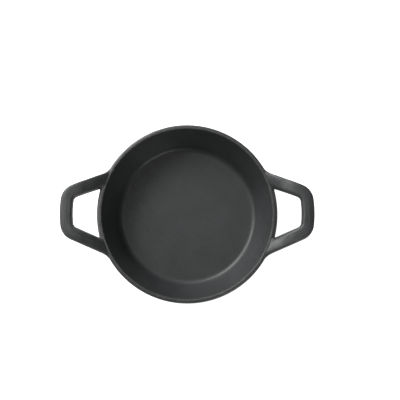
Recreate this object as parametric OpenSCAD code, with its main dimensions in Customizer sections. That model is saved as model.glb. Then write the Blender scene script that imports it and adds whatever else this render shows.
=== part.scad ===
// Round cast iron skillet with two arched loop handles, cast in one pour.
// Millimetres. The origin is the middle of the foot, +X runs to the right handle,
// +Y to the rear and +Z up. Each module is one region of the casting, and
// neighbouring regions meet face to face.

/* [Bowl] */
// Outer diameter of the rim
rim_d = 200; // [190:5:240]
// Height of the rim above the foot
bowl_h = 41; // [38:1:46]
// Thickness of the floor
floor_t = 5; // [4:0.5:6]
// Thickness of the side wall, square to its face
wall_t = 4; // [3.5:0.1:4.5]
// Lean of the side wall from upright, in degrees
wall_lean = 25.5; // [20:0.5:27]
// Radius of the cove between the floor and the wall
cove_r = 7.5; // [5:0.5:9]
// Radius between the foot and the outside of the wall
heel_r = 12; // [9:0.5:13]

/* [Rim] */
// Width across the top of the rim
rim_w = 4.4; // [4.2:0.1:5]
// Height of the upright band around the outside of the rim
band_h = 6; // [5:0.5:8]
// Rounding of the rim's outer edge
rim_outer_r = 2.8; // [2:0.1:2.9]
// Rounding of the rim's inner edge
rim_inner_r = 0.9; // [0.5:0.1:0.9]

/* [Handles] */
// How far each handle reaches out from the rim, before its corners are rounded
reach = 40.3; // [38.5:0.1:43]
// Width of the handle bar, seen from above
bar_w = 14.4; // [13:0.2:15]
// Thickness of the handle bar
bar_t = 10.5; // [9:0.5:11]
// Rounding of the bar's upper edges
bar_top_r = 2.2; // [1.6:0.1:3]
// Rounding of the bar's lower edges
bar_under_r = 4; // [2.5:0.1:4.2]
// Draft of the bar's sides above their widest line, in degrees
bar_draft = 9; // [4:1:12]
// Angle of each arm from the handle's middle line, in degrees
arm_angle = 24; // [20:1:26]
// Half the distance between the two corners of the grip
corner_y = 20.3; // [18:0.1:23]
// Radius of the grip's corners, on the middle of the bar
corner_r = 13; // [10:0.5:15]
// How far the grip bows outwards
bow = 1.9; // [0.5:0.1:2.5]
// Height of the middle of the grip above the rim
grip_lift = 10.5; // [8:0.5:12]
// Radius of the arch that carries the arms down to the wall
arch_r = 34; // [28:1:40]
// Where the arch is highest, outwards from the rim
arch_start = 30; // [28:1:32]
// Steepest climb of an arm, in degrees
arm_climb = 26; // [23:1:29]
// Radius where an arm flares into the wall
root_r = 5; // [3:0.5:6]
// How far the boss behind each handle stands out from the rim
boss_out = 1.1; // [0.8:0.1:1.8]

/* [Hidden] */
iron = [0.17, 0.175, 0.175];
$fn = 180;

rim_r = rim_d / 2;
bow_r = 110;          // radius of the grip's bow
arc_steps = 8;        // facets of a rounded corner of the bowl's section
bend_steps = 8;       // facets of a corner of the handle
edge_steps = 4;       // facets of a rounded edge of the bar
arm_steps = 9;        // rings along one arm
stub_steps = 10;      // rings along the root of an arm
rim_cut_z = bowl_h - band_h - 6;   // the rim region starts under its band
root_gap = 7;         // the boss holds this much of each arm, out from the rim
inside_wall = 9;      // how far an arm's middle line runs on inside the rim
boss_top_gap = 3;     // from the rim's top down to the boss
boss_face_h = 6.5;    // height of the boss's upright face
boss_low_r = 3;       // rounding of the boss's lower edge
boss_high_r = 0.8;    // rounding of the boss's upper edge
boss_inside = 8;      // how far the boss plate runs on inside the rim
boss_bite = 2;        // how far its sloping underside runs on inside the wall
band_r = 1.6;         // rounding of the band's lower edge
under_band_r = 5;     // rounding where the band's underside meets the wall
widest_gap = 0.2;     // from the bar's lower rounding up to its widest line
level_from = 6;       // an arm runs on level from here, inside the rim
sink_from = 2;        // its root starts to sink here, inside the rim
sink_slope = 2.5;     // how steeply the root sinks
sink_most = 4;        // how far the root sinks in all
arm_guide = 50;       // length of the lines that guide the arms' rounding
past = 5;             // how far a cutting body reaches past what it cuts

lean = tan(wall_lean);
inner_r = rim_r - rim_w;

// Inside and outside of the wall at height z, before any rounding
function wall_in(z) = inner_r - (bowl_h - z) * lean;
function wall_out(z) = wall_in(z) + wall_t / cos(wall_lean);

// The floor is flat above and below out to here, and the floor plate ends inside that
flat_r = min(wall_in(floor_t) - cove_r / tan(45 + wall_lean / 2),
             wall_out(0) - heel_r / tan(45 + wall_lean / 2));
floor_cut_r = floor(flat_r) - 2;

function unit(v) = v / norm(v);
function turned(v, a) = [v.x * cos(a) - v.y * sin(a), v.x * sin(a) + v.y * cos(a)];

// The corner b of an outline from a to c, rounded to the radius b[2]
function corner(a, b, c, steps) =
    b[2] == 0 ? [[b.x, b.y]] :
    let (p = [b.x, b.y],
         u = unit([a.x, a.y] - p),
         v = unit([c.x, c.y] - p),
         half = acos(u * v) / 2,
         centre = p + unit(u + v) * b[2] / sin(half),
         start = p + u * b[2] / tan(half) - centre,
         side = cross(u, v) > 0 ? -1 : 1)
    [for (i = [0:steps]) centre + turned(start, side * (180 - 2 * half) * i / steps)];

// A closed outline whose corners are [x, y, rounding]
function rounded(c, steps) =
    [for (i = [0:len(c) - 1])
        each corner(c[(i + len(c) - 1) % len(c)], c[i], c[(i + 1) % len(c)], steps)];

// ---- Bowl ----

band_z = bowl_h - band_h;
// The 45 degree face under the band meets the outside of the wall here
under_drop = (rim_r - wall_out(band_z)) / (1 - lean);
under_z = band_z - under_drop;

outside_corners = [
    [wall_out(0), 0, heel_r],
    [wall_out(under_z), under_z, under_band_r],
    [rim_r, band_z, band_r],
    [rim_r, bowl_h, rim_outer_r]];
inside_corners = [
    [inner_r, bowl_h, rim_inner_r],
    [wall_in(floor_t), floor_t, cove_r],
    [0, floor_t, 0]];

module bowl() {
    rotate_extrude()
        polygon(rounded(concat([[0, 0, 0]], outside_corners, inside_corners), arc_steps));
}

// Everything inside the bowl's outer face, filled
module envelope() {
    rotate_extrude()
        polygon(rounded(concat([[0, 0, 0]], outside_corners, [[0, bowl_h, 0]]), arc_steps));
}

module disc(r, z0, z1) {
    translate([0, 0, z0]) cylinder(r = r, h = z1 - z0);
}

module floor_plate() {
    color(iron) disc(floor_cut_r, 0, floor_t);
}

module side_wall() {
    color(iron) difference() {
        bowl();
        disc(floor_cut_r, -1, floor_t + 1);
        disc(rim_r + past, rim_cut_z, bowl_h + past);
    }
}

module rim() {
    color(iron) intersection() {
        bowl();
        disc(rim_r + past, rim_cut_z, bowl_h + past);
    }
}

// ---- Handles, drawn on the right ----

grip_x = rim_r + reach - bar_w / 2 - bow;
grip_z = bowl_h + grip_lift;
arch_x = rim_r + arch_start;

// Climb of the bar at x, in degrees, and the height of its middle: an arch over the
// grip that comes down to the arm's steepest and stays there to the wall
function climb(x) = asin(min((arch_x - x) / arch_r, sin(arm_climb)));
function bar_z(x) =
    grip_z - arch_r * (1 - cos(climb(x)))
    - max(0, arch_x - arch_r * sin(arm_climb) - max(x, wall_x)) * tan(arm_climb);

// The rear arm's middle line, seen from above
arm_dir = [-cos(arm_angle), sin(arm_angle)];
bend = [grip_x, corner_y];
bow_crown = [grip_x + bow, 0, bow_r];
grip_corners = [bend + arm_dir * arm_guide, [bend.x, bend.y, corner_r], bow_crown,
                [bend.x, -bend.y, corner_r],
                [bend.x, -bend.y] + [arm_dir.x, -arm_dir.y] * arm_guide];
grip_line = [for (i = [1:3])
    each corner(grip_corners[i - 1], grip_corners[i], grip_corners[i + 1],
                i == 2 ? 2 : bend_steps)];
arm_end = grip_line[0];

// Where the arm's middle line is a distance r from the bowl's axis
function on_arm(r) =
    let (along = arm_end * arm_dir)
    arm_end + arm_dir * (-along - sqrt(pow(along, 2) - arm_end * arm_end + r * r));
boss_end = on_arm(rim_r + root_gap);
root = on_arm(rim_r - inside_wall);
wall_x = on_arm(rim_r - level_from).x;

// Half the bar's section is w wide at its widest line, just above its lower edge
function bar_corners(w) =
    let (t = bar_t / 2,
         widest = bar_under_r + widest_gap - t,
         top_w = w - (t - widest) * tan(bar_draft))
    [[top_w, t, bar_top_r], [-top_w, t, bar_top_r], [-w, widest, 0],
     [-w, -t, bar_under_r], [w, -t, bar_under_r], [w, widest, 0]];

// One upright ring of the bar at p, where it runs along d as seen from above.
// Its sides stand g further out than the bar's own, and it lies this much lower.
function ring(p, d, g = 0, lower = 0) =
    [for (q = rounded(bar_corners(bar_w / 2 + g), edge_steps))
        let (x = p.x + d.y * q.x)
        [x, p.y - d.x * q.x, bar_z(x) - lower + q.y / cos(climb(x))]];

// A closed solid through a list of rings
module loft(rings) {
    n = len(rings[0]);
    last = (len(rings) - 1) * n;
    polyhedron(
        points = [for (r = rings) each r],
        faces = concat(
            [[for (j = [n - 1:-1:0]) j]],
            [for (i = [0:len(rings) - 2], j = [0:n - 1])
                [i * n + j, i * n + (j + 1) % n, (i + 1) * n + (j + 1) % n, (i + 1) * n + j]],
            [[for (j = [0:n - 1]) last + j]]));
}

module rear_arm() {
    loft([for (i = [0:arm_steps])
        ring(arm_end + (boss_end - arm_end) * i / arm_steps, arm_dir)]);
}

// How far the bar's sides flare at a point this far out from the rim
function flare(out) =
    let (d = min(max(out, 0), root_r))
    root_r - sqrt(pow(root_r, 2) - pow(root_r - d, 2));

// How far the root sinks below the bar's own line: its top ends on top of the rim,
// short of the rim's inner edge
function sink(out) = min(sink_most, sink_slope * max(0, -sink_from - out));

// The root of the rear arm: it flares, and runs on inside the wall
module rear_stub() {
    loft([for (i = [0:stub_steps])
        let (p = boss_end + (root - boss_end) * i / stub_steps,
             out = norm(p) - rim_r)
        ring(p, arm_dir, flare(out), sink(out))]);
}

// The boss between the two arms stands just proud of the rim's band
module boss_plate() {
    top = bowl_h - boss_top_gap;
    face_r = rim_r + boss_out;
    low = top - boss_face_h;
    drop = (face_r - wall_out(low)) / (1 - lean) + boss_bite;
    azimuth = atan2(root.y, root.x);
    rotate(-azimuth) rotate_extrude(angle = 2 * azimuth)
        polygon(rounded([[inner_r - boss_inside, top, 0], [inner_r - boss_inside, low - drop, 0],
                         [face_r - drop, low - drop, 0], [face_r, low, boss_low_r],
                         [face_r, top, boss_high_r]], edge_steps));
}

module boss() {
    color(iron) difference() {
        union() {
            boss_plate();
            rear_stub();
            mirror([0, 1, 0]) rear_stub();
        }
        envelope();
    }
}

// Heading of the grip's middle line at its point i
function heading(i) =
    i == 0 ? -arm_dir :
    i == len(grip_line) - 1 ? [arm_dir.x, -arm_dir.y] :
    unit(grip_line[i + 1] - grip_line[i - 1]);

module grip() {
    color(iron) loft([for (i = [0:len(grip_line) - 1]) ring(grip_line[i], heading(i))]);
}

module right_boss() boss();
module right_rear_arm() color(iron) rear_arm();
module right_front_arm() color(iron) mirror([0, 1, 0]) rear_arm();
module right_grip() grip();
module left_boss() mirror([1, 0, 0]) boss();
module left_rear_arm() mirror([1, 0, 0]) right_rear_arm();
module left_front_arm() mirror([1, 0, 0]) right_front_arm();
module left_grip() mirror([1, 0, 0]) grip();

floor_plate();
side_wall();
rim();
right_boss();
right_rear_arm();
right_front_arm();
right_grip();
left_boss();
left_rear_arm();
left_front_arm();
left_grip();
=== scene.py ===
"""The look of a round cast iron skillet with two arched loop handles.

One visual piece stands for each CAD node. The bowl's regions are cut from one turned
surface and each handle's from one swept surface, so that their edges meet.
"""

import math

import bpy
import numpy as np
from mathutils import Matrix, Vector, noise


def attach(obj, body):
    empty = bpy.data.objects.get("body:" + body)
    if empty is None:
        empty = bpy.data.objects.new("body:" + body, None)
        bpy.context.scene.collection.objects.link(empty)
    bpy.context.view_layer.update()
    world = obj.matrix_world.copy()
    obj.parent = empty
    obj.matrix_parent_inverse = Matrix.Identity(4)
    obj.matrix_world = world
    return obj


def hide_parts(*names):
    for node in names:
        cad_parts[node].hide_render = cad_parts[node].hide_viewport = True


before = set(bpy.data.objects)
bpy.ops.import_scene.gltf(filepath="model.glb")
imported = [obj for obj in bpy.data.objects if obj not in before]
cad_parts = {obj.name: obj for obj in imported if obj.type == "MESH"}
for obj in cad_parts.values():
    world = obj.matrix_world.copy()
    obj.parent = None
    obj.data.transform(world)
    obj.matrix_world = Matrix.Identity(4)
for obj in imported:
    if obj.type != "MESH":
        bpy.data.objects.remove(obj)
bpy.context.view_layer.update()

MM = 0.001

# ---- Sizes, in millimetres and degrees, as in the CAD model ----

RIM_R, BOWL_H, FLOOR_T, WALL_T, WALL_LEAN = 100.0, 41.0, 5.0, 4.0, 25.5
COVE_R, HEEL_R = 7.5, 12.0
RIM_W, BAND_H, RIM_OUTER_R, RIM_INNER_R = 4.4, 6.0, 2.8, 0.9
BAND_R, UNDER_BAND_R = 1.6, 5.0
REACH, BAR_W, BAR_T, BAR_TOP_R, BAR_UNDER_R, BAR_DRAFT = 40.3, 14.4, 10.5, 2.2, 4.0, 9.0
ARM_ANGLE, CORNER_Y, CORNER_R, BOW, BOW_R = 24.0, 20.3, 13.0, 1.9, 110.0
GRIP_LIFT, ARCH_R, ARCH_START, ARM_CLIMB = 10.5, 34.0, 30.0, 26.0
BOSS_OUT, BOSS_TOP_GAP, BOSS_FACE_H, BOSS_LOW_R = 1.1, 3.0, 6.5, 3.0
FLOOR_CUT_R, ROOT_GAP = 70.0, 7.0
RIM_CUT_Z = BOWL_H - BAND_H - 6

LEAN = math.tan(math.radians(WALL_LEAN))
INNER_R = RIM_R - RIM_W


def wall_in(z):
    return INNER_R - (BOWL_H - z) * LEAN


def wall_out(z):
    return wall_in(z) + WALL_T / math.cos(math.radians(WALL_LEAN))


# ---- Outlines ----

def unit(v):
    v = np.asarray(v, float)
    return v / np.linalg.norm(v)


def corner(a, b, c, radius, steps):
    """The corner b of an outline from a to c, rounded."""
    a, b, c = (np.asarray(p, float)[:2] for p in (a, b, c))
    if radius == 0:
        return [b]
    u, v = unit(a - b), unit(c - b)
    half = math.acos(float(np.clip(u @ v, -1, 1))) / 2
    centre = b + unit(u + v) * radius / math.sin(half)
    start = b + u * radius / math.tan(half) - centre
    side = -1 if u[0] * v[1] - u[1] * v[0] > 0 else 1
    points = []
    for i in range(steps + 1):
        t = side * (math.pi - 2 * half) * i / steps
        points.append(centre + (start[0] * math.cos(t) - start[1] * math.sin(t),
                                start[0] * math.sin(t) + start[1] * math.cos(t)))
    return points


def outline(corners, steps, closed=False):
    """A line through corners given as (x, y, rounding)."""
    n = len(corners)
    points = []
    for i, b in enumerate(corners):
        if not closed and i in (0, n - 1):
            points.append(np.array(b[:2], float))
        else:
            points += corner(corners[i - 1], b, corners[(i + 1) % n], b[2], steps)
    return np.array(points)


def refined(line, longest):
    """The line with its long stretches divided, so that shading stays even along them."""
    points = [line[0]]
    for a, b in zip(line[:-1], line[1:]):
        parts = max(1, math.ceil(np.linalg.norm(b - a) / longest))
        points += [a + (b - a) * (k + 1) / parts for k in range(parts)]
    return np.array(points)


# ---- Grids of points ----

def grid_normals(points, wrap):
    """Unit normals of a grid (rows, columns, 3), wrapping round the columns if wrap."""
    along = np.gradient(points, axis=0)
    if wrap:
        round_ = (np.roll(points, -1, axis=1) - np.roll(points, 1, axis=1)) / 2
    else:
        round_ = np.gradient(points, axis=1)
    n = np.cross(along, round_)
    length = np.linalg.norm(n, axis=2, keepdims=True)
    return n / np.maximum(length, 1e-12)


def waviness(points, wavelength, seed):
    """Smooth noise from -1 to 1 at each point, in millimetres."""
    flat = points.reshape(-1, 3) / wavelength + seed
    values = [noise.noise(Vector(p)) for p in flat]
    return np.array(values).reshape(points.shape[:-1])


LONG_WAVE, SHORT_WAVE, LONG_SHARE = 22.0, 7.0, 0.7


def as_cast(points, normals, depth, seed):
    """The faint unevenness of a sand-cast skin, as offsets along the normals."""
    swell = (LONG_SHARE * waviness(points, LONG_WAVE, seed)
             + (1 - LONG_SHARE) * waviness(points, SHORT_WAVE, seed + 40))
    return points + normals * (swell * depth)[..., None]


class Shell:
    """Collects faces with their corner normals, and at each vertex an edge-wear value and
    a place in the grain's own space."""

    def __init__(self):
        self.points, self.edges, self.lanes, self.faces = [], [], [], []
        self.normals, self.smooth = [], []

    def add(self, points, edge, lanes):
        start = len(self.points)
        self.points += [tuple(p) for p in points]
        self.edges += list(edge)
        self.lanes += [tuple(v) for v in lanes]
        return list(range(start, start + len(points)))

    def face(self, ids, normals=None, outward=None):
        """A face with a normal for each corner, or a flat one that looks outward."""
        spots = np.array([self.points[k] for k in ids])
        flat = sum(np.cross(spots[k] - spots[0], spots[k + 1] - spots[0])
                   for k in range(1, len(ids) - 1))
        wanted = np.mean(normals, axis=0) if normals is not None else outward
        if flat @ wanted < 0:
            ids = ids[::-1]
            normals = normals[::-1] if normals is not None else None
            flat = -flat
        self.smooth.append(normals is not None)
        if normals is None:
            normals = [unit(flat)] * len(ids)
        self.faces.append(ids)
        self.normals += [tuple(n) for n in normals]

    def sheet(self, points, normals, edge, wrap, lanes=None):
        """A smooth sheet over a grid. A row that is all one point becomes one vertex."""
        rows = []
        for row, worn, lane in zip(points, edge, points if lanes is None else lanes):
            pole = np.ptp(row, axis=0).max() < 1e-9
            kept = 1 if pole else len(row)
            ids = self.add(row[:kept], worn[:kept], lane[:kept])
            rows.append(ids * len(row) if pole else ids)
        columns = points.shape[1]
        for i in range(len(rows) - 1):
            for j in range(columns if wrap else columns - 1):
                k = (j + 1) % columns
                spots = [(i, j), (i + 1, j), (i + 1, k), (i, k)]
                ids, used = [], []
                for r, c in spots:
                    if rows[r][c] not in ids:
                        ids.append(rows[r][c])
                        used.append(normals[r, c])
                if len(ids) > 2:
                    self.face(ids, used)
        return rows

    def band(self, row_a, row_b, outward):
        """Flat faces between two closed rows of the same length."""
        n = len(row_a)
        for j in range(n):
            k = (j + 1) % n
            self.face([row_a[j], row_b[j], row_b[k], row_a[k]], outward=outward[j])

    def build(self, name, nodes, material):
        mesh = bpy.data.meshes.new(name)
        points = [tuple(c * MM for c in p) for p in self.points]
        mesh.from_pydata(points, [], self.faces)
        worn = mesh.attributes.new("worn", "FLOAT", "POINT")
        worn.data.foreach_set("value", np.array(self.edges, np.float32))
        lane = mesh.attributes.new("lane", "FLOAT_VECTOR", "POINT")
        lane.data.foreach_set("vector", np.array(self.lanes, np.float32).ravel())
        mesh.materials.append(material)
        mesh.polygons.foreach_set("use_smooth", self.smooth)
        mesh.normals_split_custom_set(self.normals)
        mesh.update()
        piece = bpy.data.objects.new(name, mesh)
        bpy.context.scene.collection.objects.link(piece)
        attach(piece, "root")
        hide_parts(*nodes)


# ---- Bowl ----

SEGMENTS = 360
BOWL_SKIN, BOWL_SEED = 0.07, 3.0
band_z = BOWL_H - BAND_H
under_z = band_z - (RIM_R - wall_out(band_z)) / (1 - LEAN)

# The rounding under the band ends just below RIM_CUT_Z, so the outline doubles back by 0.2 mm
# there and the rim's lower outer edge has a small fold
bowl_corners = [
    (0, FLOOR_T, 0),
    (FLOOR_CUT_R, FLOOR_T, 0),
    (wall_in(FLOOR_T), FLOOR_T, COVE_R),
    (wall_in(RIM_CUT_Z), RIM_CUT_Z, 0),
    (INNER_R, BOWL_H, RIM_INNER_R),
    (RIM_R, BOWL_H, RIM_OUTER_R),
    (RIM_R, band_z, BAND_R),
    (wall_out(under_z), under_z, UNDER_BAND_R),
    (wall_out(RIM_CUT_Z), RIM_CUT_Z, 0),
    (wall_out(0), 0, HEEL_R),
    (FLOOR_CUT_R, 0, 0),
    (0, 0, 0)]


def nearest_row(line, r, z):
    return int(np.argmin(np.hypot(line[:, 0] - r, line[:, 1] - z)))


corner_steps, longest_side = 14, 2.5
bowl_line = refined(outline(bowl_corners, corner_steps), longest_side)
floor_row = nearest_row(bowl_line, FLOOR_CUT_R, FLOOR_T)
inner_row = nearest_row(bowl_line, wall_in(RIM_CUT_Z), RIM_CUT_Z)
outer_row = nearest_row(bowl_line, wall_out(RIM_CUT_Z), RIM_CUT_Z)
foot_row = nearest_row(bowl_line, FLOOR_CUT_R, 0)
top_row = nearest_row(bowl_line, RIM_R - RIM_OUTER_R, BOWL_H)

turn = np.linspace(0, 2 * math.pi, SEGMENTS, endpoint=False)
bowl = np.stack([np.outer(bowl_line[:, 0], np.cos(turn)),
                 np.outer(bowl_line[:, 0], np.sin(turn)),
                 np.repeat(bowl_line[:, 1:2], SEGMENTS, axis=1)], axis=2)
bowl_normals = grid_normals(bowl, True)
if bowl_normals[floor_row, 0, 2] < 0:
    bowl_normals = -bowl_normals
bowl_normals[0], bowl_normals[-1] = (0, 0, 1), (0, 0, -1)
bowl = as_cast(bowl, bowl_normals, BOWL_SKIN, BOWL_SEED)
# The foot stays flat
bowl[foot_row:, :, 2] = 0
fresh = grid_normals(bowl, True)
fresh *= np.sign(np.sum(fresh * bowl_normals, axis=2, keepdims=True))
fresh[0], fresh[-1] = (0, 0, 1), (0, 0, -1)
bowl_normals = fresh


def worn_rows(line):
    """How rubbed each row is: most at the rim's edges, a little at the band and heel."""
    # Each spot is a radius, a height, how far the wear reaches and how strong it is
    spots = ((INNER_R + 0.3, BOWL_H - 0.3, 1.2, 1.0), (RIM_R - 0.8, BOWL_H - 0.8, 2.2, 0.9),
             (RIM_R - 0.4, band_z + 0.4, 1.2, 0.5), (wall_out(2.5), 2.5, 3.0, 0.4))
    worn = np.zeros(len(line))
    for r, z, reach, most in spots:
        d = np.hypot(line[:, 0] - r, line[:, 1] - z) / reach
        worn = np.maximum(worn, most * np.exp(-d * d))
    return worn


bowl_worn = np.repeat(worn_rows(bowl_line)[:, None], SEGMENTS, axis=1)


def turned_piece(name, material, stretches):
    """A region of the bowl: stretches of rows, joined by flat cut faces."""
    shell = Shell()
    ends = []
    for a, b in stretches:
        rows = shell.sheet(bowl[a:b + 1], bowl_normals[a:b + 1], bowl_worn[a:b + 1], True)
        ends.append((rows[0], rows[-1], bowl[b] - bowl[b - 1]))
    for k in range(len(ends)):
        last, first, onward = ends[k][1], ends[(k + 1) % len(ends)][0], ends[k][2]
        if len(set(last)) > 1 and len(set(first)) > 1:
            shell.band(last, first, onward)
    shell.build(name, [name], material)


def outside_r(z):
    """Radius of the bowl's outer face at height z."""
    line = bowl_line[top_row:foot_row + 1][::-1]
    return np.interp(z, line[:, 1], line[:, 0])


# ---- Boss under each loop ----

boss_top = BOWL_H - BOSS_TOP_GAP
boss_low = boss_top - BOSS_FACE_H
boss_face = RIM_R + BOSS_OUT
boss_drop = (boss_face - wall_out(boss_low)) / (1 - LEAN) + 0.5
boss_line = refined(outline([
    (RIM_R - 1.5, boss_top, 0),
    (boss_face, boss_top, 0.9),
    (boss_face, boss_low, BOSS_LOW_R),
    (boss_face - boss_drop, boss_low - boss_drop, 0)], 8), 1.2)
# Azimuths where the boss starts to fade into the wall and where it is gone
BOSS_FULL, BOSS_END = 19.0, 25.0


def smooth_step(a, b, x):
    t = np.clip((x - a) / (b - a), 0, 1)
    return t * t * (3 - 2 * t)


def boss_share(azimuth):
    return 1 - smooth_step(BOSS_FULL, BOSS_END, np.abs(azimuth))


def boss_swell(azimuth):
    """The boss stands a little further out towards the arms."""
    return 0.5 * (np.minimum(np.abs(azimuth), BOSS_END) / BOSS_FULL) ** 2 - 0.2


def body_r(azimuth, z):
    """Radius of the bowl with its boss, at an azimuth in degrees and a height."""
    plain = outside_r(z)
    line = boss_line[::-1]
    raised = np.interp(z, line[:, 1], line[:, 0], left=0, right=0) + boss_swell(azimuth)
    return plain + boss_share(azimuth) * np.maximum(raised - plain, 0)


def add_boss_plate(shell, flip):
    """The boss between the arms: a curved plate, closed behind inside the wall."""
    columns, edge_sink, thickness = 121, 0.2, 2.0
    azimuths = np.linspace(-BOSS_END, BOSS_END, columns)
    share, swell = boss_share(azimuths), boss_swell(azimuths)
    plain = outside_r(boss_line[:, 1])
    raised = boss_line[:, 0][:, None] + swell
    front = plain[:, None] + share * (raised - plain[:, None]) - edge_sink * (1 - share)
    back = np.repeat((plain - thickness)[::-1][:, None], columns, axis=1)
    radius = np.concatenate([front, back])
    z = np.concatenate([boss_line[:, 1], boss_line[:, 1][::-1]])
    a = np.radians(azimuths)
    points = np.stack([radius * np.cos(a), radius * np.sin(a),
                       np.repeat(z[:, None], columns, axis=1)], axis=2)
    n = len(boss_line)
    radial = np.stack([np.cos(a), np.sin(a), 0 * a], axis=1)
    normals = grid_normals(points[:n], False)
    middle = columns // 2
    normals *= np.sign(normals[n // 2, middle] @ radial[middle])
    unworn = np.zeros((n, columns))
    back_normals = np.repeat(-radial[None], n, axis=0)
    rows = shell.sheet(points[:n] * flip, normals * flip, unworn, False)
    hidden = shell.sheet(points[n:] * flip, back_normals * flip, unworn, False)
    for first, second, up in ((rows[-1], hidden[0], -1), (hidden[-1], rows[0], 1)):
        for j in range(columns - 1):
            shell.face([first[j], second[j], second[j + 1], first[j + 1]], outward=(0, 0, up))
    for j, side in ((0, -1), (columns - 1, 1)):
        shell.face([r[j] for r in rows] + [r[j] for r in hidden], outward=(0, side, 0))


# ---- Loop handles, on the right ----

grip_x = RIM_R + REACH - BAR_W / 2 - BOW
grip_z = BOWL_H + GRIP_LIFT
arch_x = RIM_R + ARCH_START
steep = math.sin(math.radians(ARM_CLIMB))
arm_dir = np.array([-math.cos(math.radians(ARM_ANGLE)), math.sin(math.radians(ARM_ANGLE))])


def climb(x):
    return np.arcsin(np.minimum((arch_x - x) / ARCH_R, steep))


def bar_z(x):
    straight = np.maximum(0, arch_x - ARCH_R * steep - x)
    return grip_z - ARCH_R * (1 - np.cos(climb(x))) - straight * math.tan(math.radians(ARM_CLIMB))


def handle_path():
    """The bar's middle line from the rear root to the front root, seen from above."""
    guide, bend_steps, bow_steps, longest = 60, 18, 6, 1.3
    bend = np.array([grip_x, CORNER_Y])
    crown = np.array([grip_x + BOW, 0.0])
    mirrored = np.array([1, -1])
    rear = corner(bend + arm_dir * guide, bend, crown, CORNER_R, bend_steps)
    middle = corner(bend, crown, bend * mirrored, BOW_R, bow_steps)
    along = float(rear[0] @ arm_dir)
    reach = (RIM_R + ROOT_GAP) ** 2 - rear[0] @ rear[0] + along * along
    root = rear[0] + arm_dir * (-along - math.sqrt(reach))
    front = [p * mirrored for p in rear[::-1]]
    line = refined(np.array([root] + rear + middle + front + [root * mirrored]), longest)
    arm_rows = int(np.argmin(np.linalg.norm(line - rear[0], axis=1)))
    return line, arm_rows


def bar_section():
    """Points round the bar, its normals there, and how rubbed each one is."""
    w, t = BAR_W / 2, BAR_T / 2
    # The parting line: its height on the bar's side, half its width and how proud it is
    seam, half_seam, proud = BAR_UNDER_R + 0.8 - t, 0.55, 0.16
    edge_steps, longest, crown_rise, flat_top = 7, 1.3, 0.2, t - 0.02
    top_w = w - (t - seam) * math.tan(math.radians(BAR_DRAFT))
    near_w = w - half_seam * math.tan(math.radians(BAR_DRAFT))
    corners = [(0, t, 0), (-top_w, t, BAR_TOP_R),
               (-near_w, seam + half_seam, 0), (-w - proud, seam, 0), (-w, seam - half_seam, 0),
               (-w, -t, BAR_UNDER_R), (w, -t, BAR_UNDER_R),
               (w, seam - half_seam, 0), (w + proud, seam, 0), (near_w, seam + half_seam, 0),
               (top_w, t, BAR_TOP_R)]
    ring = outline(corners, edge_steps, closed=True)
    ring = refined(np.vstack([ring, ring[:1]]), longest)[:-1]
    crown = crown_rise * (1 - (ring[:, 0] / top_w) ** 2)
    ring[:, 1] += np.where(ring[:, 1] > flat_top, crown, 0)
    d = np.roll(ring, -1, axis=0) - np.roll(ring, 1, axis=0)
    normals = np.stack([d[:, 1], -d[:, 0]], axis=1)
    normals /= np.linalg.norm(normals, axis=1, keepdims=True)
    if normals[0, 1] < 0:
        normals = -normals
    worn = np.zeros(len(ring))
    edge_x, edge_y = top_w - 0.6, t - 0.6
    for x, y, reach, most in ((-edge_x, edge_y, 1.5, 0.8), (edge_x, edge_y, 1.5, 0.8),
                              (-w, seam, 0.7, 0.7), (w, seam, 0.7, 0.7)):
        gap = np.hypot(ring[:, 0] - x, ring[:, 1] - y) / reach
        worn = np.maximum(worn, most * np.exp(-gap * gap))
    return ring, normals, worn


section, section_normals, section_worn = bar_section()

# Fillets where an arm runs into the wall, on its four sides
ROOT_OUTER, ROOT_INNER, ROOT_TOP, ROOT_UNDER = 8.5, 4.5, 2.0, 4.0
# Near the wall the arm's top dips this many degrees towards its inner side: in full up to
# the first x, and fading to nothing at the second
ROOT_TWIST, TWIST_FULL, TWIST_END = 12.0, 98.0, 110.0
# A root's edge lies this far inside the wall, and a last ring closes it further in
ROOT_SINK, ROOT_CLOSE = 0.2, 0.8


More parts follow.
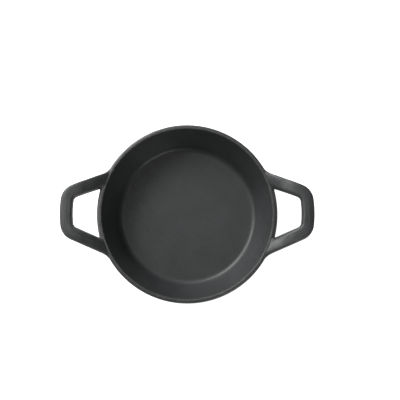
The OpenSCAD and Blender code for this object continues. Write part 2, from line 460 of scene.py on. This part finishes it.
def root_rows(first_ring, direction, across):
    """Rings that carry the rear arm from its first ring onto the bowl, with a fillet."""
    nx, ny = section_normals[:, 0], section_normals[:, 1]
    fillet = (ROOT_OUTER * np.maximum(-nx, 0) ** 2 + ROOT_INNER * np.maximum(nx, 0) ** 2
              + ROOT_TOP * np.maximum(ny, 0) ** 2 + ROOT_UNDER * np.maximum(-ny, 0) ** 2)

    def outside(p):
        azimuth = np.degrees(np.arctan2(p[:, 1], p[:, 0]))
        return np.hypot(p[:, 0], p[:, 1]) - body_r(azimuth, p[:, 2])

    farthest, stride, halvings = 30.0, 0.25, 24
    high = np.full(len(first_ring), farthest)
    for s in np.arange(stride, farthest, stride):
        inside = outside(first_ring + direction * s) <= 0
        high = np.where(inside & (high == farthest), s, high)
    low = high - stride
    for _ in range(halvings):
        middle = (low + high) / 2
        inside = outside(first_ring + direction * middle[:, None]) <= 0
        high = np.where(inside, middle, high)
        low = np.where(inside, low, middle)
    meet = first_ring + direction * high[:, None]
    outward = across * nx[:, None] + np.array([0, 0, 1.0]) * ny[:, None]
    slope = np.stack([outside(meet + step) - outside(meet - step)
                      for step in np.eye(3) * 0.05], axis=1)
    slope /= np.linalg.norm(slope, axis=1, keepdims=True)
    away = slope * (1, 1, 0)
    away /= np.linalg.norm(away, axis=1, keepdims=True)
    spread = outward - away * np.sum(outward * away, axis=1, keepdims=True)
    spread /= np.maximum(np.linalg.norm(spread, axis=1, keepdims=True), 1e-9)
    landing = meet + spread * fillet[:, None]
    landing[:, 2] = np.minimum(landing[:, 2], BOWL_H)
    azimuth = np.arctan2(landing[:, 1], landing[:, 0])
    radius = body_r(np.degrees(azimuth), landing[:, 2])
    landing[:, 0], landing[:, 1] = radius * np.cos(azimuth), radius * np.sin(azimuth)
    on_top = (landing[:, 2:] > BOWL_H - 0.2) * np.array([0, 0, 1.0])
    landing -= (slope + on_top) * ROOT_SINK
    shortest, straight_rows, fillet_rows = 0.3, 4, 14
    leave = first_ring + direction * np.maximum(high - fillet, shortest)[:, None]
    rows = [first_ring + (leave - first_ring) * (k + 1) / straight_rows
            for k in range(straight_rows)]
    for t in (np.arange(fillet_rows) + 1) / fillet_rows:
        rows.append((1 - t) ** 2 * leave + 2 * t * (1 - t) * meet + t * t * landing)
    rows.append(landing - (slope + on_top) * ROOT_CLOSE)
    return rows


def handle_grid():
    """All the handle's rings from rear root to front root, and where its regions meet."""
    line, arm_rows = handle_path()
    heading = np.gradient(line, axis=0)
    heading[0], heading[-1] = -arm_dir, arm_dir * (1, -1)
    heading /= np.linalg.norm(heading, axis=1, keepdims=True)
    across = np.stack([heading[:, 1], -heading[:, 0]], axis=1)
    rings = np.zeros((len(line), len(section), 3))
    rings[:, :, :2] = line[:, None] + across[:, None] * section[None, :, :1]
    x = rings[:, :, 0]
    twist = math.tan(math.radians(ROOT_TWIST)) * (1 - smooth_step(TWIST_FULL, TWIST_END, x))
    rings[:, :, 2] = (bar_z(x) + section[None, :, 1] / np.cos(climb(x))
                      - twist * section[None, :, 0])
    inward = np.array([arm_dir[0], arm_dir[1],
                       arm_dir[0] * math.tan(math.radians(ARM_CLIMB))])
    across_3d = np.array([across[0, 0], across[0, 1], 0.0])
    rear = root_rows(rings[0], inward / np.linalg.norm(inward), across_3d)
    front = [r * (1, -1, 1) for r in rear]
    points = np.array(rear[::-1] + list(rings) + front)
    roots = len(rear)
    return points, roots, roots + arm_rows


HANDLE_SKIN, HANDLE_SEED = 0.09, 11.0
handle, root_count, corner_row = handle_grid()
handle_normals = grid_normals(handle, True)
middle_ring = len(handle) // 2
if handle_normals[middle_ring, 0, 2] < 0:
    handle_normals = -handle_normals
handle = as_cast(handle, handle_normals, HANDLE_SKIN, HANDLE_SEED)
fresh = grid_normals(handle, True)
handle_normals = fresh * np.sign(np.sum(fresh * handle_normals, axis=2, keepdims=True))
last_ring = len(handle) - 1
rings_from_end = np.minimum(np.arange(last_ring + 1), last_ring - np.arange(last_ring + 1))
# 0 where a root has run into the wall, 1 along the bar
root_fade = smooth_step(2, root_count - 2, rings_from_end)
handle_worn = root_fade[:, None] * section_worn[None]


def grain_lanes():
    """Places in a space where noise is drawn out along the bar, as grinding leaves it."""
    streak_length, streak_width = 14.0, 0.9
    middle = handle.mean(axis=1)
    steps = np.linalg.norm(np.diff(middle, axis=0), axis=1)
    along = np.concatenate([[0], np.cumsum(steps)])
    sides = np.linalg.norm(np.roll(section, -1, axis=0) - section, axis=1)
    turn_at = 2 * math.pi * np.cumsum(sides) / sides.sum()
    girth = sides.sum() / (2 * math.pi * streak_width)
    lanes = np.zeros(handle.shape)
    lanes[:, :, 0] = along[:, None] / streak_length
    lanes[:, :, 1] = np.cos(turn_at) * girth
    lanes[:, :, 2] = np.sin(turn_at) * girth
    return lanes


handle_lanes = grain_lanes()


def swept(shell, a, b, flip):
    """The handle's rings a to b, closed at both ends."""
    rows = shell.sheet(handle[a:b + 1] * flip, handle_normals[a:b + 1] * flip,
                       handle_worn[a:b + 1], True, handle_lanes[a:b + 1] * flip)
    for ring, end, onward in ((rows[0], a, a + 1), (rows[-1], b, b - 1)):
        outward = (handle[end].mean(axis=0) - handle[onward].mean(axis=0)) * flip
        shell.face(list(ring), outward=outward)


# ---- Materials ----

MOTTLE_SIZE, PIT_SIZE, PATCH_SIZE = 26, 2.6, 5
BARE_IRON = (0.105, 0.106, 0.104)
STREAK_START, STREAK_FULL = RIM_R + 2, RIM_R + 8


def cast_iron(name, tone, grain, grain_depth, roughness, rub, streaks=0):
    """Iron under a thin dark coating: mottled, finely grained, rubbed at its edges, and
    with streaks where it has been ground, which is only on the handles' bars."""
    material = bpy.data.materials.new(name)
    material.use_nodes = True
    tree = material.node_tree
    nodes, links = tree.nodes, tree.links
    nodes.clear()
    output = nodes.new("ShaderNodeOutputMaterial")
    shader = nodes.new("ShaderNodeBsdfPrincipled")
    shader.inputs["Specular IOR Level"].default_value = 0.65
    shader.inputs["Coat Weight"].default_value = 0.3
    shader.inputs["Coat Roughness"].default_value = 0.3
    links.new(shader.outputs[0], output.inputs["Surface"])
    place = nodes.new("ShaderNodeTexCoord")

    def noise_of(size_mm, detail, rough=0.55):
        node = nodes.new("ShaderNodeTexNoise")
        node.inputs["Scale"].default_value = 1000.0 / size_mm
        node.inputs["Detail"].default_value = detail
        node.inputs["Roughness"].default_value = rough
        links.new(place.outputs["Object"], node.inputs["Vector"])
        return node.outputs["Fac"]

    def sum_of(a, b, weight):
        node = nodes.new("ShaderNodeMath")
        node.operation = "MULTIPLY_ADD"
        links.new(b, node.inputs[0])
        node.inputs[1].default_value = weight
        links.new(a, node.inputs[2])
        return node.outputs[0]

    def spread(value, low, high, to_low, to_high):
        node = nodes.new("ShaderNodeMapRange")
        node.clamp = True
        node.inputs["From Min"].default_value = low
        node.inputs["From Max"].default_value = high
        node.inputs["To Min"].default_value = to_low
        node.inputs["To Max"].default_value = to_high
        links.new(value, node.inputs["Value"])
        return node.outputs["Result"]

    def blend(factor, a, b):
        node = nodes.new("ShaderNodeMix")
        node.data_type = "RGBA"
        links.new(factor, node.inputs[0])
        for socket, value in ((node.inputs[6], a), (node.inputs[7], b)):
            if isinstance(value, tuple):
                socket.default_value = (*value, 1)
            else:
                links.new(value, socket)
        return node.outputs[2]

    mottle = noise_of(MOTTLE_SIZE, 4)
    fine = noise_of(grain, 3, 0.6)
    specks = noise_of(grain * 2.3, 2)

    dark = tuple(c * 0.84 for c in tone)
    light = tuple(c * 1.18 for c in tone)
    colour = blend(spread(mottle, 0.3, 0.7, 0, 1), dark, light)
    deep = tuple(c * 0.7 for c in tone)
    colour = blend(spread(fine, 0.36, 0.5, 0.55, 0), colour, deep)
    if streaks:
        lane = nodes.new("ShaderNodeAttribute")
        lane.attribute_name = "lane"
        ground = nodes.new("ShaderNodeTexNoise")
        ground.inputs["Scale"].default_value = 1.0
        ground.inputs["Detail"].default_value = 3
        links.new(lane.outputs["Vector"], ground.inputs["Vector"])
        flat_place = nodes.new("ShaderNodeVectorMath")
        flat_place.operation = "MULTIPLY"
        flat_place.inputs[1].default_value = (1, 1, 0)
        links.new(place.outputs["Object"], flat_place.inputs[0])
        from_axis = nodes.new("ShaderNodeVectorMath")
        from_axis.operation = "LENGTH"
        links.new(flat_place.outputs[0], from_axis.inputs[0])
        on_bar = spread(from_axis.outputs["Value"], STREAK_START * MM, STREAK_FULL * MM, 0, 0.8)
        shown = nodes.new("ShaderNodeMath")
        shown.operation = "MULTIPLY"
        links.new(spread(ground.outputs["Fac"], 0.42, 0.68, 0, 1), shown.inputs[0])
        links.new(on_bar, shown.inputs[1])
        polished = tuple(c * (1 + streaks) for c in tone)
        colour = blend(shown.outputs[0], colour, polished)
    worn = nodes.new("ShaderNodeAttribute")
    worn.attribute_name = "worn"
    patchy = nodes.new("ShaderNodeMath")
    patchy.operation = "MULTIPLY"
    links.new(worn.outputs["Fac"], patchy.inputs[0])
    links.new(spread(noise_of(PATCH_SIZE, 3), 0.35, 0.65, 0.25 * rub, rub), patchy.inputs[1])
    colour = blend(patchy.outputs[0], colour, BARE_IRON)
    links.new(colour, shader.inputs["Base Color"])

    rough = spread(sum_of(mottle, specks, 0.6), 0.5, 1.1, roughness - 0.05, roughness + 0.07)
    links.new(rough, shader.inputs["Roughness"])

    bump = nodes.new("ShaderNodeBump")
    bump.inputs["Strength"].default_value = 1.0
    bump.inputs["Distance"].default_value = grain_depth * MM
    links.new(sum_of(fine, specks, 0.8), bump.inputs["Height"])
    pits = nodes.new("ShaderNodeBump")
    pits.inputs["Strength"].default_value = 1.0
    pits.inputs["Distance"].default_value = grain_depth * 1.4 * MM
    links.new(spread(noise_of(PIT_SIZE, 1), 0.22, 0.38, 0, 1), pits.inputs["Height"])
    links.new(bump.outputs["Normal"], pits.inputs["Normal"])
    links.new(pits.outputs["Normal"], shader.inputs["Normal"])
    return material


IRON = (0.040, 0.0425, 0.0435)
floor_iron = cast_iron("floor_iron", IRON, 1.1, 0.10, 0.55, 0.5)
wall_iron = cast_iron("wall_iron", IRON, 0.8, 0.045, 0.53, 0.5)
rim_iron = cast_iron("rim_iron", IRON, 0.8, 0.04, 0.50, 0.9)
handle_iron = cast_iron("handle_iron", IRON, 0.8, 0.06, 0.53, 0.6, streaks=0.9)


# ---- Pieces ----

last_row = len(bowl_line) - 1
turned_piece("floor_plate", floor_iron, [(0, floor_row), (foot_row, last_row)])
turned_piece("side_wall", wall_iron,
             [(floor_row, inner_row), (outer_row, foot_row)])
turned_piece("rim", rim_iron, [(inner_row, outer_row)])

for side, sign in (("right", 1), ("left", -1)):
    flip = np.array([sign, 1, 1])
    regions = {
        "boss": [(0, root_count), (last_ring - root_count, last_ring)],
        "rear_arm": [(root_count, corner_row)],
        "grip": [(corner_row, last_ring - corner_row)],
        "front_arm": [(last_ring - corner_row, last_ring - root_count)]}
    for region, spans in regions.items():
        shell = Shell()
        if region == "boss":
            add_boss_plate(shell, flip)
        for a, b in spans:
            swept(shell, a, b, flip)
        name = side + "_" + region
        shell.build(name, [name], handle_iron)


# ---- Studio ----

PAN_MIDDLE = Vector((0, 0, 0.03))


def area_lamp(name, azimuth, elevation, distance, size, watts):
    """A square soft lamp aimed at the middle of the pan."""
    a, e = math.radians(azimuth), math.radians(elevation)
    data = bpy.data.lights.new(name, "AREA")
    data.shape = "SQUARE"
    data.size = size
    data.energy = watts
    lamp = bpy.data.objects.new(name, data)
    towards = Vector((math.cos(e) * math.cos(a), math.cos(e) * math.sin(a), math.sin(e)))
    lamp.location = PAN_MIDDLE + towards * distance
    lamp.rotation_euler = (-towards).to_track_quat("-Z", "Y").to_euler()
    bpy.context.scene.collection.objects.link(lamp)


area_lamp("key", 130, 42, 1.4, 1.0, 6.9)
area_lamp("low_key", 124, 28, 1.4, 0.6, 9.2)
area_lamp("side_key", 156, 36, 1.4, 0.35, 6.0)
area_lamp("overhead", 0, 80, 1.5, 0.8, 1.6)
area_lamp("fill", 300, 20, 1.4, 0.6, 4.0)

# The backdrop is white to the camera and gives no light
world = bpy.data.worlds.new("studio")
bpy.context.scene.world = world
world.use_nodes = True
backdrop = world.node_tree.nodes["Background"]
backdrop.inputs["Color"].default_value = (1, 1, 1, 1)
backdrop_seen = world.node_tree.nodes.new("ShaderNodeLightPath")
world.node_tree.links.new(backdrop_seen.outputs["Is Camera Ray"], backdrop.inputs["Strength"])

floor_mesh = bpy.data.meshes.new("studio_floor")
HALF_FLOOR = 3.0
floor_mesh.from_pydata([(-HALF_FLOOR, -HALF_FLOOR, 0), (HALF_FLOOR, -HALF_FLOOR, 0),
                        (HALF_FLOOR, HALF_FLOOR, 0), (-HALF_FLOOR, HALF_FLOOR, 0)],
                       [], [(0, 1, 2, 3)])
studio_floor = bpy.data.objects.new("studio_floor", floor_mesh)
bpy.context.scene.collection.objects.link(studio_floor)
pale = bpy.data.materials.new("pale_floor")
pale.use_nodes = True
paint = pale.node_tree.nodes["Principled BSDF"]
paint.inputs["Base Color"].default_value = (0.9, 0.9, 0.9, 1)
paint.inputs["Roughness"].default_value = 0.9
paint.inputs["Emission Color"].default_value = (1, 1, 1, 1)
# The floor glows white to the camera and only faintly onto the pan
seen = pale.node_tree.nodes.new("ShaderNodeLightPath")
glow = pale.node_tree.nodes.new("ShaderNodeMapRange")
glow.inputs["To Min"].default_value = 0.2
glow.inputs["To Max"].default_value = 1.0
pale.node_tree.links.new(seen.outputs["Is Camera Ray"], glow.inputs["Value"])
pale.node_tree.links.new(glow.outputs["Result"], paint.inputs["Emission Strength"])
floor_mesh.materials.append(pale)

CAMERA_TILT, CAMERA_DISTANCE, FRAME_WIDTH, SENSOR = 5.56, 0.71, 0.4444, 36
tilt = math.radians(CAMERA_TILT)
camera_data = bpy.data.cameras.new("camera")
camera_data.sensor_width = SENSOR
camera_data.lens = SENSOR * CAMERA_DISTANCE / FRAME_WIDTH
camera_data.shift_x, camera_data.shift_y = 0.0321, 0.0324
camera = bpy.data.objects.new("camera", camera_data)
camera.location = (0, -math.sin(tilt) * CAMERA_DISTANCE,
                   BOWL_H * MM + math.cos(tilt) * CAMERA_DISTANCE)
camera.rotation_euler = (tilt, 0, 0)
bpy.context.scene.collection.objects.link(camera)
bpy.context.scene.camera = camera
bpy.context.scene.view_settings.view_transform = "Standard"
